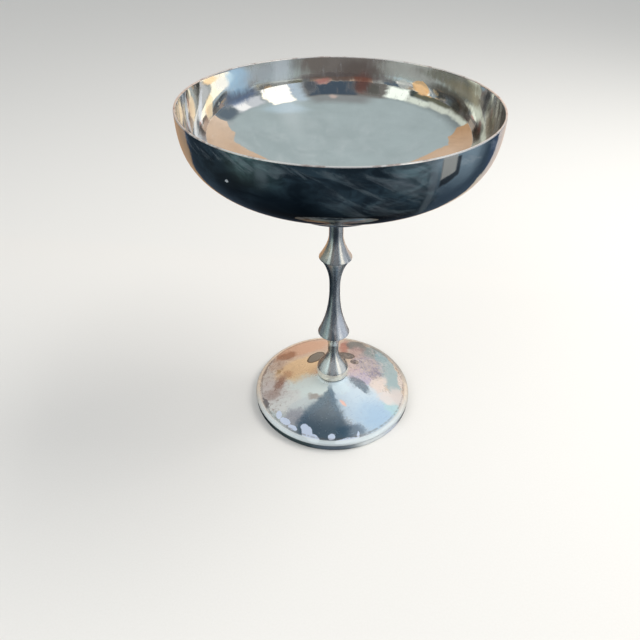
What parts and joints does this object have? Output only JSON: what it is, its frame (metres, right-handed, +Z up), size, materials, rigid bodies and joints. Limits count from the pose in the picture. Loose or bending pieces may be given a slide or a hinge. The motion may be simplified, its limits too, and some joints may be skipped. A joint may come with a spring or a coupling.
{
  "type": "communion chalice",
  "caption": "Coupe-bowl chalice: a wide spun cup on a slim turned stem of bells, screwed to a round cone foot.",
  "frame": {"origin": "centre of the plane that the foot rests on", "axes": "+Z up along the stem's axis; the foot screw's slot lies along X at rest and the spring washer's slit faces +X"},
  "size_m": [0.12, 0.12, 0.151],
  "materials": {
    "bowl_silver": "polished silver plate on brass; dark smoky tarnish outside, thin haze inside",
    "seat_silver": "polished silver plate on brass, dark with tarnish on top",
    "stem_silver": "satin-bright silver plate on turned brass, darker in the hollows",
    "foot_silver": "silver plate on spun brass with iridescent tarnish, scratches and dried water marks",
    "rim_silver": "silver plate on brass, worn bright on its crest and dark at the side",
    "boss_brass": "plain machined brass, hidden",
    "hidden_steel": "plain machine steel"
  },
  "bodies": {
    "foot": {"foot": "foot_silver", "foot_rim": "rim_silver", "foot_collar": "stem_silver", "flat_washer": "hidden_steel", "lock_washer": "hidden_steel"},
    "stem_and_bowl": {"stem_lower": "stem_silver", "stem_middle": "stem_silver", "stem_stud": "hidden_steel", "stem_upper": "stem_silver", "bowl_seat": "seat_silver", "bowl_boss": "boss_brass", "bowl": "bowl_silver"},
    "foot_screw": {"foot_screw": "hidden_steel"}
  },
  "joints": [
    {"name": "stem_lift", "type": "slide", "parent": "foot", "child": "stem_and_bowl", "axis": [0, 0, 1], "range_m": [0, 0.0072]},
    {"name": "screw_turn", "type": "hinge", "parent": "foot", "child": "foot_screw", "pos_m": [0, 0, 0.0085], "axis": [0, 0, -1], "range_deg": [0, 3240]}
  ],
  "couplings": [
    {"joint": "screw_turn", "follows": "stem_lift", "rad_per_m": 7854}
  ]
}
